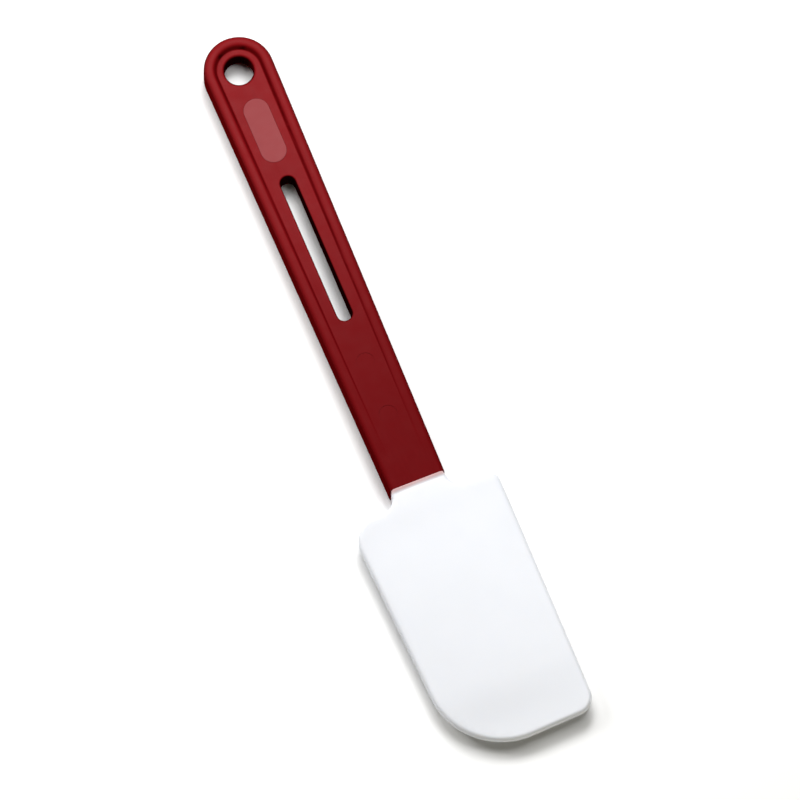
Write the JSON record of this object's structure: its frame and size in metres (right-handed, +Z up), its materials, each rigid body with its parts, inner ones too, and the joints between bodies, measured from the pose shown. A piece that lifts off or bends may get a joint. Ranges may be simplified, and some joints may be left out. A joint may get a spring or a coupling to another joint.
{
  "type": "silicone spatula",
  "caption": "Bowl scraper with a long tapering moulded handle, a hang hole, a slot and a broad soft blade with one large and one small rounded corner.",
  "frame": {"origin": "middle of the overall box in plan, on the surface that the spatula lies on", "axes": "+Y along the handle towards the hang hole, +X towards the blade's straight side, +Z up out of the front face"},
  "size_m": [0.068, 0.343, 0.014],
  "materials": {
    "handle_nylon": "satin moulded red nylon",
    "blade_silicone": "smooth white silicone",
    "label_pad": "flat pale red, bare"
  },
  "bodies": {
    "root": {"handle": "handle_nylon", "blade": "blade_silicone", "label_inlay": "label_pad"}
  },
  "joints": []
}
